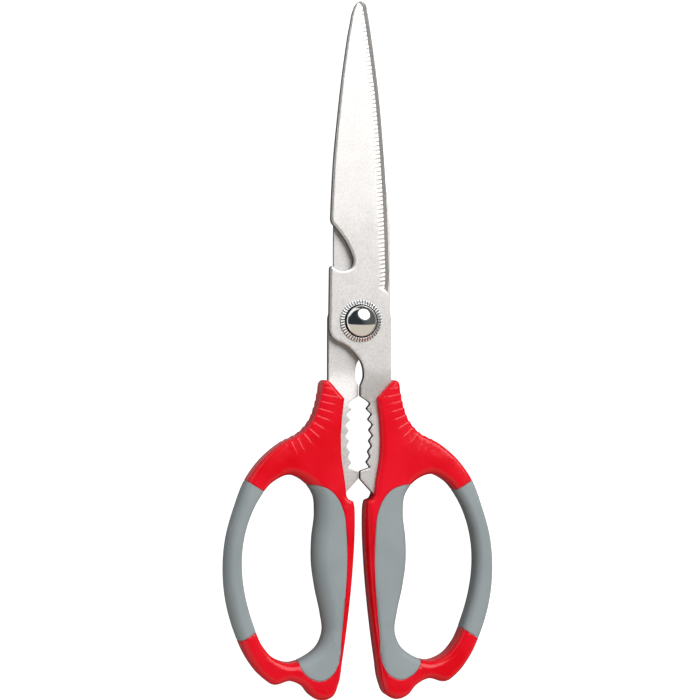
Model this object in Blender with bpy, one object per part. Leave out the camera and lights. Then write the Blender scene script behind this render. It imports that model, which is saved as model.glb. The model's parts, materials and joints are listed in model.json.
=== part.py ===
"""Poultry shears: two steel blades crossing at one pivot, each with an overmoulded handle.

The shears lie flat with the front face up.  +Y runs toward the blade tips, +X to the right as
seen from the front, +Z up through the thickness.  Outlines are in millimetres, measured from the
pivot axis in the mid-plane of the handles.  Every object keeps its origin on the pivot axis.
The right half (front blade) turns about +Z through the pivot; the left half (rear blade) stays.
"""

from math import asin, ceil, cos, pi, radians, sin

import bmesh
import bpy
from mathutils import Vector
from mathutils.geometry import tessellate_polygon

for old in list(bpy.data.objects):
    bpy.data.objects.remove(old, do_unlink=True)

MM = 0.001

# Overall placing of the pivot axis and of the handles' mid-plane, in the part's own frame.
PIVOT_Y = 8.8
HANDLE_HALF = 5.5

# Steel plates.
PLATE_FACE = 3.1
PLATE_GAP = 0.3
PLATE_LOW = PLATE_GAP / 2
JOGGLE_DROP = (PLATE_FACE + PLATE_LOW) / 2
JOGGLE_START = -16.2
JOGGLE_END = -24.2
JOGGLE_CUTS = 4
TAPER_START = 30.0
TAPER_END = 98.0
TAPER_SHARE = 0.27
FRONT_LAND = 0.35
REAR_LAND = 1.2
GRIND_WIDTH = 2.1
RIM_CHAMFER = 0.45
FRONT_FLANK = 9.65
REAR_FLANK = 9.4
CONTACT_HALF = 0.15

# Toothed jaws between pivot and handles.
JAW_TEETH = 6
JAW_TOP = -23.1
JAW_FIRST_TIP = -27.0
JAW_PITCH = 3.28
JAW_TIP_X = 2.1
JAW_BOW = 0.85
JAW_DEPTH = 1.3
JAW_BOTTOM = -46.1
STOP_BOTTOM = -48.5

# Pivot hardware: radii and heights from the mid-plane.
SHANK_R = 2.0
BARREL_R = 2.9
BORE_R = 3.05
HEAD_R = 4.7
HEAD_SEAT_R = 4.0
HEAD_SEAT_Z = 4.05
HEAD_EDGE_Z = 5.0
HEAD_TOP_Z = 7.0
DOME_STEPS = 7
SHANK_END_Z = -3.9
SHANK_CHAMFER = 0.4
RING_R = 6.45
RING_BASE_Z = 3.3
RING_TOP_Z = 4.4
RING_FLOOR_Z = 3.85
RING_FLOOR_R = 4.9
RING_CHAMFER = 0.45
RING_TEETH = 44
TOOTH_CUT = 0.3
SPRING_R = 5.0
SPRING_TOP_Z = -3.25
SPRING_THICK = 0.25
SPRING_DISH = 0.06
FLANGE_R = 5.6
FLANGE_TOP_Z = -3.7
FLANGE_LOW_Z = -4.4
FLANGE_CHAMFER = 0.25
BARREL_TOP_Z = 3.2
THREAD_R = 2.15
NUT_SLOT_HALF = 0.6
NUT_SLOT_DEEP = 0.4

# Overmoulded handles.
CORE_INSET = 1.35
CORE_HALF = 3.9
FIT_GAP = 0.3
LOCK_HOLE_R = 1.8
LOCK_HOLES = ((10.6, -36.6), (13.9, -40.9))
ROUND_STEPS = 3

# Sampling of smooth outlines.
TURN_STEP = radians(15)
LONG_STEP = 14.0
FINE = 8


def smooth_curve(knots, closed=False):
    """Smooth curve through (x, y, r) knots: more points where it turns, few where it is straight."""
    points = [Vector(knot) for knot in knots]
    count = len(points)
    gaps = [max((points[(i + 1) % count] - points[i]).xy.length, 1e-6) for i in range(count)]
    slopes = []
    for i in range(count):
        before = (points[i] - points[i - 1]) / gaps[i - 1]
        after = (points[(i + 1) % count] - points[i]) / gaps[i]
        if not closed and i == 0:
            slopes.append(after)
        elif not closed and i == count - 1:
            slopes.append(before)
        else:
            slopes.append((before * gaps[i] + after * gaps[i - 1]) / (gaps[i] + gaps[i - 1]))
    curve = []
    for i in range(count if closed else count - 1):
        j = (i + 1) % count

        def at(t):
            a = points[i] * (2 * t**3 - 3 * t**2 + 1) + points[j] * (3 * t**2 - 2 * t**3)
            b = slopes[i] * (t**3 - 2 * t**2 + t) + slopes[j] * (t**3 - t**2)
            return a + b * gaps[i]

        probe = [at(k / FINE) for k in range(FINE + 1)]
        turn = 0.0
        for k in range(1, FINE):
            turn += abs((probe[k] - probe[k - 1]).xy.angle((probe[k + 1] - probe[k]).xy, 0.0))
        parts = max(1, ceil(turn / TURN_STEP), ceil(gaps[i] / LONG_STEP))
        curve += [at(k / parts) for k in range(parts)]
    if not closed:
        curve.append(points[-1])
    return curve


def joined(*runs):
    """One closed loop from several runs, dropping a point that repeats the one before it."""
    loop = []
    for run in runs:
        for point in run:
            point = Vector(point)
            if not loop or (point - loop[-1]).xy.length > 0.02:
                loop.append(point)
    if (loop[0] - loop[-1]).xy.length < 0.02:
        loop.pop()
    return loop


def inward(loop):
    """For each point of a loop with its material on the left: the mitred step into the material."""
    steps = []
    for i, point in enumerate(loop):
        d1 = (point - loop[i - 1]).xy.normalized()
        d2 = (loop[(i + 1) % len(loop)] - point).xy.normalized()
        n1 = Vector((-d1.y, d1.x))
        n2 = Vector((-d2.y, d2.x))
        middle = (n1 + n2).normalized()
        steps.append(middle / max(middle.dot(n1), 0.5))
    return steps


def shifted(loop, distance):
    """The loop moved into its material by a distance."""
    moved = []
    for point, step in zip(loop, inward(loop)):
        moved.append(Vector((point.x + step.x * distance, point.y + step.y * distance, point.z)))
    return moved


def stack(loops, levels):
    """A solid from flat loops: each level gives (z, inset) for a point's own radius value."""
    bm = bmesh.new()
    ends = {0: [], len(levels) - 1: []}
    for loop in loops:
        steps = inward(loop)
        rings = []
        for number, level in enumerate(levels):
            ring = []
            for point, step in zip(loop, steps):
                z, inset = level(point.z)
                ring.append(bm.verts.new((point.x + step.x * inset, point.y + step.y * inset, z)))
            rings.append(ring)
            if number in ends:
                ends[number].append(ring)
        for low, high in zip(rings, rings[1:]):
            for i in range(len(loop)):
                j = (i + 1) % len(loop)
                bm.faces.new((low[i], low[j], high[j], high[i]))
    for end in ends.values():
        corners = [vert for ring in end for vert in ring]
        for face in tessellate_polygon([[vert.co for vert in ring] for ring in end]):
            bm.faces.new([corners[k] for k in face])
    return bm


def lathe(profile, segments, wobble=None):
    """A solid of revolution about the pivot axis from a closed (radius, z) profile."""
    bm = bmesh.new()
    rings = []
    for k in range(segments):
        turn = 2 * pi * k / segments
        ring = []
        for number, (radius, z) in enumerate(profile):
            if wobble:
                radius, z = wobble(number, k, radius, z)
            ring.append(bm.verts.new((radius * cos(turn), radius * sin(turn), z)))
        rings.append(ring)
    count = len(profile)
    for k in range(segments):
        here = rings[k]
        there = rings[(k + 1) % segments]
        for i in range(count):
            j = (i + 1) % count
            bm.faces.new((here[i], there[i], there[j], here[j]))
    bmesh.ops.remove_doubles(bm, verts=bm.verts[:], dist=1e-4)
    return bm


def add_object(name, bm, colour=None, roughness=0.5, metallic=0.0):
    """A mesh object with its origin on the pivot axis; without a colour it is a hidden cutter."""
    bmesh.ops.triangulate(bm, faces=bm.faces[:])
    bmesh.ops.recalc_face_normals(bm, faces=bm.faces[:])
    bmesh.ops.scale(bm, vec=(MM, MM, MM), verts=bm.verts[:])
    mesh = bpy.data.meshes.new(name)
    bm.to_mesh(mesh)
    bm.free()
    obj = bpy.data.objects.new(name, mesh)
    bpy.context.scene.collection.objects.link(obj)
    obj.location = (0.0, PIVOT_Y * MM, HANDLE_HALF * MM)
    if colour is None:
        obj.hide_render = True
        obj.display_type = "WIRE"
        return obj
    surface = bpy.data.materials.new(name)
    surface.use_nodes = True
    shader = surface.node_tree.nodes["Principled BSDF"]
    shader.inputs["Base Color"].default_value = (*colour, 1.0)
    shader.inputs["Roughness"].default_value = roughness
    shader.inputs["Metallic"].default_value = metallic
    mesh.materials.append(surface)
    return obj


def combine(obj, operation, other):
    """Adds an exact Boolean to an object."""
    modifier = obj.modifiers.new(f"{operation.lower()} {other.name}", "BOOLEAN")
    modifier.operation = operation
    modifier.solver = "EXACT"
    modifier.object = other


def smooth_round(obj, angle):
    """Smooth shading with creases kept sharper than the angle."""
    bpy.context.view_layer.objects.active = obj
    obj.data.shade_smooth()
    obj.data.set_sharp_from_angle(angle=angle)


def mirrored(bm):
    """The same solid turned half round about the Y axis."""
    for vert in bm.verts:
        vert.co.x = -vert.co.x
        vert.co.z = -vert.co.z
    return bm


def jaw_line(share):
    """How far a tooth tip stands from the middle, from the first tooth (0) to the last (1)."""
    return JAW_TIP_X + JAW_BOW * sin(pi * share)


def jaw_run():
    """Inner edge of one plate from the stop below the lens down past the teeth."""
    run = [(CONTACT_HALF, -19.8, 0), (CONTACT_HALF, JAW_TOP, 0), (2.0, -24.2, 0)]
    for tooth in range(JAW_TEETH):
        y = JAW_FIRST_TIP - tooth * JAW_PITCH
        share = tooth / (JAW_TEETH - 1)
        tip = jaw_line(share)
        run.append((tip + JAW_DEPTH, y + JAW_PITCH / 2, 0))
        run.append((tip, y, 0))
    run.append((JAW_TIP_X + JAW_DEPTH, y - JAW_PITCH / 2, 0))
    run.append((CONTACT_HALF, JAW_BOTTOM, 0))
    run.append((CONTACT_HALF, STOP_BOTTOM, 0))
    run.append((4.5, -53.3, 0))
    return [Vector(point) for point in run]


def tang_run(flank):
    """Outer edge of one plate, from the foot of the tang up its straight flank to the heel."""
    hidden = smooth_curve(
        [
            (4.9, -53.4, 0),
            (8.4, -50.4, 0),
            (11.4, -46.3, 0),
            (15.6, -45.0, 0),
            (17.6, -42.6, 0),
            (16.4, -39.4, 0),
            (12.9, -35.6, 0),
            (10.6, -30.5, 0),
            (flank + 0.05, -24.0, 0),
            (flank, -18.0, 0),
        ]
    )
    return joined(hidden, [(flank, 1.0, 0)])


# The third value of a blade knot is how much of the cutting grind it takes; -1 is a chamfered rim.
FRONT_EDGE = [
    (8.85, 5.0, 0.0),
    (8.85, 8.2, 0.0),
    (9.2, 10.8, 1.0),
    (9.15, 20.0, 1.0),
    (8.85, 30.0, 1.0),
    (8.2, 43.0, 1.0),
    (7.3, 55.5, 1.0),
    (6.2, 67.8, 1.0),
    (4.7, 80.1, 1.0),
    (3.25, 90.2, 1.0),
    (2.3, 95.8, 0.8),
    (1.75, 98.0, 0.3),
    (0.8, 98.7, 0.0),
]
FRONT_SPINE = [
    (0.8, 98.7, 0.0),
    (-0.6, 98.3, -1.0),
    (-2.0, 96.2, -1.0),
    (-3.35, 90.6, -1.0),
    (-5.0, 80.1, -1.0),
    (-7.15, 61.7, -1.0),
    (-8.3, 49.4, -1.0),
    (-8.9, 38.5, -1.0),
    (-9.2, 31.2, -1.0),
]
NOTCH = [
    (-8.9, 30.0, -1.0),
    (-7.4, 28.3, -1.0),
    (-5.0, 25.2, -1.0),
    (-3.1, 21.7, -1.0),
    (-2.1, 18.4, -1.0),
    (-2.6, 16.6, -1.0),
    (-4.6, 15.6, -1.0),
    (-7.2, 15.8, -1.0),
    (-8.8, 17.0, -1.0),
]
FRONT_SHOULDER = [(-9.5, 16.4, -1.0), (-9.6, 6.0, -1.0), (-9.7, -2.4, -0.4)]
REAR_EDGE = [
    (8.3, 5.0, 0.0),
    (8.1, 8.5, 0.0),
    (8.0, 10.8, 1.0),
    (7.95, 22.0, 1.0),
    (7.9, 34.0, 1.0),
    (7.8, 43.0, 1.0),
    (6.9, 55.5, 1.0),
    (5.8, 67.8, 1.0),
    (4.5, 80.1, 1.0),
    (3.1, 90.2, 1.0),
    (2.0, 95.8, 0.8),
    (1.2, 97.6, 0.3),
    (0.2, 98.2, 0.0),
]
REAR_SPINE = [
    (0.2, 98.2, 0.0),
    (-1.2, 97.8, 0.0),
    (-2.0, 95.8, 0.0),
    (-3.0, 90.2, 0.0),
    (-4.4, 80.1, 0.0),
    (-5.8, 67.8, 0.0),
    (-7.0, 55.5, 0.0),
    (-8.1, 44.5, 0.0),
    (-9.0, 37.5, 0.0),
    (-9.75, 28.5, 0.0),
    (-9.9, 20.0, 0.0),
    (-9.9, 6.0, 0.0),
    (-9.8, -2.4, 0.0),
]
S_CURVE = [
    (-9.5, -3.4, 0.0),
    (-8.6, -5.1, 0.0),
    (-7.2, -6.1, 0.0),
    (-5.3, -6.9, 0.0),
    (-3.1, -8.4, 0.0),
    (-0.3, -11.5, 0.0),
]
LENS = [
    (-0.3, -11.5, 0.0),
    (0.5, -13.0, 0.0),
    (1.1, -15.4, 0.0),
    (0.95, -18.0, 0.0),
    (CONTACT_HALF, -19.8, 0.0),
]


def plate_levels(land):
    """Level functions of a plate: cutting grind above a land at the edge, and rim chamfers."""
    knee = PLATE_FACE - RIM_CHAMFER
    slope = GRIND_WIDTH / (PLATE_FACE - PLATE_LOW - land)

    def level(z):
        def inset(mark):
            if mark > 0:
                return z, mark * slope * max(0.0, z - PLATE_LOW - land)
            return z, max(0.0, z - knee) * -mark

        return inset

    return [level(z) for z in (PLATE_LOW, PLATE_LOW + land, knee, PLATE_FACE)]


def lock_hole(x, y, radius):
    """Outline of a locking hole, going round with the steel on its left."""
    return [Vector((x + radius * cos(a), y - radius * sin(a), 0)) for a in circle(16)]


def blade(flank, edge, spine, land):
    """One plate lying above the mid-plane, with its tang bent down to the mid-plane."""
    runs = [tang_run(flank), smooth_curve(edge)]
    runs += [smooth_curve(run) for run in spine + [S_CURVE, LENS]]
    outline = joined(*runs, jaw_run())
    bore = [Vector((BORE_R * cos(a), -BORE_R * sin(a), 0)) for a in circle(40)]
    holes = [lock_hole(x, y, LOCK_HOLE_R) for x, y in LOCK_HOLES]
    return bent(stack([outline, bore] + holes, plate_levels(land)))


def bent(bm):
    """Thins a flat solid toward the blade tip and bends its tang down to the mid-plane."""
    span = JOGGLE_END - JOGGLE_START
    cuts = [JOGGLE_START + span * cut / JOGGLE_CUTS for cut in range(JOGGLE_CUTS + 1)]
    for y in cuts + [TAPER_START]:
        everything = bm.verts[:] + bm.edges[:] + bm.faces[:]
        bmesh.ops.bisect_plane(bm, geom=everything, plane_co=(0, y, 0), plane_no=(0, 1, 0))
    for vert in bm.verts:
        bend = min(1.0, max(0.0, (vert.co.y - JOGGLE_START) / span))
        thin = max(0.0, (vert.co.y - TAPER_START) / (TAPER_END - TAPER_START))
        vert.co.z -= (vert.co.z - PLATE_LOW) * TAPER_SHARE * thin
        vert.co.z -= JOGGLE_DROP * bend * bend * (3 - 2 * bend)
    return bm


def circle(count):
    return [2 * pi * k / count for k in range(count)]


# Handle knots: x, y and the radius of the rounded edge there.
HANDLE_SIDE = [
    (9.3, -18.9, 1.2),
    (10.6, -18.1, 1.2),
    (11.7, -18.6, 1.4),
    (12.3, -20.8, 1.2),
    (13.4, -25.9, 1.1),
    (15.0, -30.2, 1.1),
    (18.2, -34.0, 1.2),
    (23.7, -37.0, 1.5),
    (29.3, -41.4, 1.9),
    (34.7, -48.3, 2.2),
    (38.2, -57.0, 2.2),
    (40.9, -67.0, 2.2),
    (41.6, -75.5, 2.2),
    (40.9, -84.8, 2.2),
    (38.2, -95.0, 2.2),
    (34.0, -104.0, 2.2),
    (30.6, -108.3, 2.2),
    (26.8, -111.0, 2.2),
    (21.5, -110.0, 2.2),
    (17.4, -112.0, 2.2),
    (14.8, -115.0, 2.3),
    (11.5, -116.2, 2.3),
    (8.4, -114.8, 2.0),
    (6.9, -111.5, 1.6),
    (5.5, -103.5, 1.3),
    (3.7, -90.0, 1.2),
    (2.3, -75.0, 1.2),
    (1.75, -62.0, 1.2),
    (1.9, -56.6, 1.2),
]
LEDGE = [(2.3, -55.2, 0.8), (3.9, -54.6, 0.8)]
HANDLE_INSIDE = [
    (4.4, -53.4, 1.2),
    (4.9, -48.8, 1.2),
    (5.9, -42.6, 1.2),
    (6.2, -36.6, 1.2),
    (5.8, -29.5, 1.2),
    (5.1, -23.7, 1.2),
]
FINGER_HOLE = [
    (22.3, -47.1, 2.0),
    (17.0, -49.3, 2.0),
    (14.0, -53.4, 2.0),
    (13.4, -59.0, 1.8),
    (14.2, -66.5, 1.8),
    (14.3, -74.0, 1.8),
    (13.2, -82.0, 1.8),
    (11.5, -90.0, 1.8),
    (10.9, -95.2, 1.8),
    (12.4, -99.4, 1.8),
    (16.4, -102.8, 1.8),
    (21.8, -104.6, 2.0),
    (27.0, -102.7, 2.2),
    (30.3, -99.0, 2.2),
    (33.2, -92.2, 2.2),
    (35.5, -84.3, 2.2),
    (36.6, -76.5, 2.2),
    (36.4, -69.0, 2.2),
    (34.7, -61.4, 2.2),
    (31.7, -54.8, 2.2),
    (27.3, -49.3, 2.2),
]

# Where the soft sleeve on the bow starts and ends, and the edge of the soft palm grip.
BOW_SLEEVE = [
    (27.5, -53.6, 0),
    (33.1, -50.1, 0),
    (39.0, -46.4, 0),
    (47.0, -60.0, 0),
    (47.0, -95.0, 0),
    (42.0, -99.6, 0),
    (36.0, -97.2, 0),
    (30.0, -93.2, 0),
    (26.0, -75.0, 0),
]
PALM_EDGE = [
    (18.0, -51.6, 0),
    (16.4, -50.4, 0),
    (12.6, -50.5, 0),
    (9.4, -51.9, 0),
    (6.9, -54.8, 0),
    (5.3, -58.6, 0),
    (4.5, -65.0, 0),
    (4.3, -74.0, 0),
    (4.8, -84.0, 0),
    (6.0, -97.0, 0),
    (6.9, -105.0, 0),
    (8.7, -108.2, 0),
    (12.6, -110.0, 0),
    (16.4, -108.5, 0),
    (18.8, -105.2, 0),
    (18.9, -100.0, 0),
]


def prism(loop, low, high):
    return stack([loop], [lambda r: (low, 0.0), lambda r: (high, 0.0)])


def ring_prism(outer, hole, inset, half):
    """A plain band between an outline and a hole, both moved into the material."""
    loops = [shifted(outer, inset), shifted(hole, inset)]
    return stack(loops, [lambda r: (-half, 0.0), lambda r: (half, 0.0)])


def rounded_levels():
    """Levels of a body whose front and back rims are rounded by each point's own radius."""
    levels = []
    for step in range(ROUND_STEPS + 1):
        turn = pi / 2 * step / ROUND_STEPS

        def level(radius, turn=turn):
            return radius * (1 - cos(turn)) - HANDLE_HALF, radius * (1 - sin(turn))

        levels.append(level)
    upper = [lambda radius, low=low: (-low(radius)[0], low(radius)[1]) for low in levels]
    return levels + upper[::-1]


def handle_loops():
    slant = [(5.1, -23.7, 1.0), (9.3, -18.9, 1.0)]
    outer = joined(smooth_curve(HANDLE_SIDE), LEDGE, smooth_curve(HANDLE_INSIDE), slant)
    outer.reverse()
    hole = smooth_curve(FINGER_HOLE, closed=True)
    hole.reverse()
    return outer, hole


def tang_slot():
    """The pocket a tang fills, wider than the tang all round, with posts for its holes."""
    teeth = [(CONTACT_HALF, -14.0, 0), (CONTACT_HALF, STOP_BOTTOM, 0), (4.5, -53.3, 0)]
    loop = joined(tang_run(FRONT_FLANK)[:-1], [(FRONT_FLANK, -14.0, 0)], teeth)
    loops = [shifted(loop, -FIT_GAP)]
    loops += [lock_hole(x, y, LOCK_HOLE_R - FIT_GAP) for x, y in LOCK_HOLES]
    low = PLATE_LOW - FIT_GAP
    high = PLATE_FACE + FIT_GAP
    return bent(stack(loops, [lambda r: (low, 0.0), lambda r: (high, 0.0)]))


RED = (0.62, 0.012, 0.022)
GREY = (0.27, 0.31, 0.32)
STEEL = (0.62, 0.61, 0.6)


def build_half(side, turn):
    """The moulded pieces of one side; turn maps the right side's solids onto this side."""
    outer, hole = handle_loops()
    body = [outer, hole]
    far = HANDLE_HALF + 2.0

    def cutter(name, bm):
        return add_object(f"{side}_{name}_cutter", turn(bm))

    palm_loop = smooth_curve(PALM_EDGE) + [Vector((22.0, -92.0, 0)), Vector((22.0, -60.0, 0))]
    bow_loop = [Vector(point) for point in BOW_SLEEVE]
    bow_loop.reverse()
    core = cutter("core", ring_prism(outer, hole, CORE_INSET, CORE_HALF))
    void_half = CORE_HALF + FIT_GAP
    void = cutter("void", ring_prism(outer, hole, CORE_INSET - FIT_GAP, void_half))
    slot = cutter("slot", tang_slot())

    handle = add_object(f"{side}_handle", turn(stack(body, rounded_levels())), RED, 0.3)
    for name, loop in (("bow", bow_loop), ("palm", palm_loop)):
        room = cutter(f"{name}_room", prism(loop, -far, far))
        combine(room, "DIFFERENCE", core)
        combine(handle, "DIFFERENCE", room)
        piece = turn(stack(body, rounded_levels()))
        grip = add_object(f"{side}_{name}_grip", piece, GREY, 0.6)
        limit = cutter(f"{name}_limit", prism(shifted(loop, FIT_GAP), -far, far))
        combine(grip, "INTERSECT", limit)
        combine(grip, "DIFFERENCE", void)
        smooth_round(grip, radians(40))
    combine(handle, "DIFFERENCE", slot)
    smooth_round(handle, radians(40))


def dome_profile():
    """Half section of the bolt, from the end of the shank round the domed head to the axis."""
    corner = (SHANK_R, SHANK_END_Z + SHANK_CHAMFER)
    profile = [(0.0, SHANK_END_Z), (SHANK_R - SHANK_CHAMFER, SHANK_END_Z), corner]
    profile += [(SHANK_R, HEAD_SEAT_Z), (HEAD_SEAT_R, HEAD_SEAT_Z)]
    height = HEAD_TOP_Z - HEAD_EDGE_Z
    ball = (HEAD_R**2 + height**2) / (2 * height)
    for step in range(DOME_STEPS):
        a = asin(HEAD_R / ball) * (1 - step / DOME_STEPS)
        profile.append((ball * sin(a), HEAD_TOP_Z - ball * (1 - cos(a))))
    profile.append((0.0, HEAD_TOP_Z))
    return profile


def knurled_ring():
    """The dished ring under the bolt head, with a tooth on every second spoke of its rim."""
    ring = [
        (BORE_R, RING_BASE_Z),
        (RING_R, RING_BASE_Z),
        (RING_R, RING_TOP_Z - RING_CHAMFER),
        (RING_R - RING_CHAMFER, RING_TOP_Z),
        (RING_FLOOR_R + 0.4, RING_TOP_Z - 0.15),
        (RING_FLOOR_R, RING_FLOOR_Z),
        (BORE_R, RING_FLOOR_Z),
    ]

    def toothed(number, k, radius, z):
        if k % 2 and number in (2, 3):
            return radius - TOOTH_CUT, z - TOOTH_CUT
        return radius, z

    return lathe(ring, 2 * RING_TEETH, toothed)


def build_pivot():
    bolt = add_object("pivot_bolt", lathe(dome_profile(), 40), (0.7, 0.7, 0.7), 0.08, 1.0)
    smooth_round(bolt, radians(35))
    washer = add_object("knurled_washer", knurled_ring(), (0.55, 0.56, 0.57), 0.25, 1.0)
    smooth_round(washer, radians(20))

    low = SPRING_TOP_Z - SPRING_THICK
    spring = [
        (BORE_R, low - SPRING_DISH),
        (SPRING_R, low),
        (SPRING_R, SPRING_TOP_Z),
        (BORE_R, SPRING_TOP_Z - SPRING_DISH),
    ]
    cup = add_object("spring_washer", lathe(spring, 40), (0.5, 0.5, 0.5), 0.35, 1.0)
    smooth_round(cup, radians(35))

    section = [
        (THREAD_R, FLANGE_LOW_Z),
        (FLANGE_R - FLANGE_CHAMFER, FLANGE_LOW_Z),
        (FLANGE_R, FLANGE_LOW_Z + FLANGE_CHAMFER),
        (FLANGE_R, FLANGE_TOP_Z),
        (BARREL_R, FLANGE_TOP_Z),
        (BARREL_R, BARREL_TOP_Z),
        (THREAD_R, BARREL_TOP_Z),
    ]
    nut = add_object("pivot_nut", lathe(section, 40), (0.6, 0.6, 0.6), 0.3, 1.0)
    reach = FLANGE_R + 1.0
    bar = [(-reach, -NUT_SLOT_HALF), (reach, -NUT_SLOT_HALF)]
    bar += [(reach, NUT_SLOT_HALF), (-reach, NUT_SLOT_HALF)]
    bottom = FLANGE_LOW_Z - 1.0
    slot = prism([Vector((x, y, 0)) for x, y in bar], bottom, FLANGE_LOW_Z + NUT_SLOT_DEEP)
    combine(nut, "DIFFERENCE", add_object("nut_slot_cutter", slot))
    smooth_round(nut, radians(30))


front_shape = blade(FRONT_FLANK, FRONT_EDGE, [FRONT_SPINE, NOTCH, FRONT_SHOULDER], FRONT_LAND)
front = add_object("front_blade", front_shape, STEEL, 0.35, 1.0)
rear_shape = mirrored(blade(REAR_FLANK, REAR_EDGE, [REAR_SPINE], REAR_LAND))
rear = add_object("rear_blade", rear_shape, STEEL, 0.35, 1.0)
for plate in (front, rear):
    smooth_round(plate, radians(25))
build_half("right", lambda bm: bm)
build_half("left", mirrored)
build_pivot()
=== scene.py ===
import json
from math import asin, atan2, ceil, cos, pi, radians, sin, sqrt, tan
from types import SimpleNamespace

import bmesh
import bpy
import numpy as np
from mathutils import Matrix, Vector
from mathutils.geometry import delaunay_2d_cdt
from mathutils.kdtree import KDTree

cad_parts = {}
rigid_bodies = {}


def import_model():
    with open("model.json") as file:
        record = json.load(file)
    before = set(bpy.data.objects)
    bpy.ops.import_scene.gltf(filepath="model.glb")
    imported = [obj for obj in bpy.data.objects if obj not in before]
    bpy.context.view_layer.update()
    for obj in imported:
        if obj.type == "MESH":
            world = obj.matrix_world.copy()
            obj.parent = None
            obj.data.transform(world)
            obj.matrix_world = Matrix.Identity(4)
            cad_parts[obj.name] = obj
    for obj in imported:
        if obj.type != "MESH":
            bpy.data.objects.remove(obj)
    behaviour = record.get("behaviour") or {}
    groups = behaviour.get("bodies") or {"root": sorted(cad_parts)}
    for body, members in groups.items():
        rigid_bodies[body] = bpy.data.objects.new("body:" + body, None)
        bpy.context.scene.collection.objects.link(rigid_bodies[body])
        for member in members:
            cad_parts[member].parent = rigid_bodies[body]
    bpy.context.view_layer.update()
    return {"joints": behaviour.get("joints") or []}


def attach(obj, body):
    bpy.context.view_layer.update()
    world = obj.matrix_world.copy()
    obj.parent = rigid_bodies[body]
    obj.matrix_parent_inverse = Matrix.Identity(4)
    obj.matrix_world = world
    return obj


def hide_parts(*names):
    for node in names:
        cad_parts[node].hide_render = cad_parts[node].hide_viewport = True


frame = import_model()

# Poultry shears lying front face up.  Outlines are in millimetres from the pivot axis, in the
# mid-plane of the handles, with +Y toward the blade tips and +X to the right.
MM = 0.001
PIVOT = Vector(frame["joints"][0]["pos_m"])
FRONT_BODY = frame["joints"][0]["child"]
REAR_BODY = frame["joints"][0]["parent"]

# ---------------------------------------------------------------- camera and light

CAMERA_TILT = radians(10.84)
CAMERA_NOD = radians(-0.6)
CAMERA_ROLL = radians(0.15)
CAMERA_DISTANCE = 0.842
CAMERA_LENS = 140.6
CAMERA_SHIFT = (-0.01247, -0.0413)

KEY_TOWARD = Vector((0.315, 0.6, 0.735)).normalized()
KEY_DISTANCE = 1.9
KEY_SPREAD = radians(28)
KEY_RADIANCE = 4.35
# A faint twin of the key light, a little farther off, casts no shadow and so lifts the shadows.
KEY_SHADOWED = 0.84
TWIN_SETBACK = 1.05
FILL_HEIGHT = 1.6
FILL_SIZE = 2.4
FILL_RADIANCE = 0.1
SIDE_PLACE = Vector((-1.5, 0.1, 0.75))
SIDE_SIZE = 1.0
SIDE_RADIANCE = 0.12

# What the steel mirrors.  Colours are radiances; a slope is how far a direction leans to +Y.
DARK_ROOM = (0.035, 0.042, 0.052, 1.0)
PALER_ROOM = (0.13, 0.135, 0.14, 1.0)
HALO = (0.5, 0.5, 0.5, 1.0)
KEY_HALO = radians(11)
HALO_OVERLAP = 0.05
WARM_SIDE = (0.8, 0.74, 0.64, 1.0)
WARM_SLOPE = (-0.215, -0.25)
LOW_BAND = (1.5, 1.5, 1.5, 1.0)
LOW_BAND_LIFT = (0.3, 0.22)
TIP_STRIP = (1.15, 1.15, 1.15, 1.0)
TIP_STRIP_TOWARD = (-0.57, 0.82, 0.0)
TIP_STRIP_LOW = (0.2, 0.26)
TIP_STRIP_HIGH = (0.42, 0.36)
WHITE = (1.0, 1.0, 1.0, 1.0)

FLOOR_GLOW = 1.05
FLOOR_GREY = 0.27
FLOOR_SIZE = 8.0
FLOOR_DROP = 0.0002


def view_axes():
    """Right, up and backward directions of the camera."""
    flat = cos(CAMERA_NOD)
    back = Vector((-sin(CAMERA_TILT) * flat, sin(CAMERA_NOD), cos(CAMERA_TILT) * flat))
    right = Vector((0.0, 1.0, 0.0)).cross(back).normalized()
    up = back.cross(right)
    rolled = right * cos(CAMERA_ROLL) + up * sin(CAMERA_ROLL)
    return rolled, back.cross(rolled), back


def add_camera():
    right, up, back = view_axes()
    data = bpy.data.cameras.new("camera")
    data.lens = CAMERA_LENS
    data.shift_x, data.shift_y = CAMERA_SHIFT
    camera = bpy.data.objects.new("camera", data)
    place = PIVOT + back * CAMERA_DISTANCE
    turn = Matrix((right, up, back)).transposed().to_4x4()
    camera.matrix_world = Matrix.Translation(place) @ turn
    bpy.context.scene.collection.objects.link(camera)
    bpy.context.scene.camera = camera


def add_light(name, shape, size, place, radiance, area, in_gloss=True, shadow=True):
    data = bpy.data.lights.new(name, "AREA")
    data.use_shadow = shadow
    data.shape = shape
    data.size = size
    data.energy = radiance * pi * area
    lamp = bpy.data.objects.new(name, data)
    lamp.location = place
    lamp.rotation_mode = "QUATERNION"
    lamp.rotation_quaternion = (place - PIVOT).to_track_quat("Z", "Y")
    lamp.visible_glossy = in_gloss
    bpy.context.scene.collection.objects.link(lamp)


def add_key(name, distance, share, shadow):
    place = PIVOT + KEY_TOWARD * distance
    radius = distance * tan(KEY_SPREAD)
    radiance = KEY_RADIANCE * share
    add_light(name, "DISK", 2 * radius, place, radiance, pi * radius**2, True, shadow)


def add_lights():
    add_key("key_light", KEY_DISTANCE, KEY_SHADOWED, True)
    add_key("key_glow", KEY_DISTANCE * TWIN_SETBACK, 1.0 - KEY_SHADOWED, False)
    above = PIVOT + Vector((0.0, 0.0, FILL_HEIGHT))
    add_light("fill_light", "SQUARE", FILL_SIZE, above, FILL_RADIANCE, FILL_SIZE**2, False)
    left = PIVOT + SIDE_PLACE
    add_light("side_light", "SQUARE", SIDE_SIZE, left, SIDE_RADIANCE, SIDE_SIZE**2, False)


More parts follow.
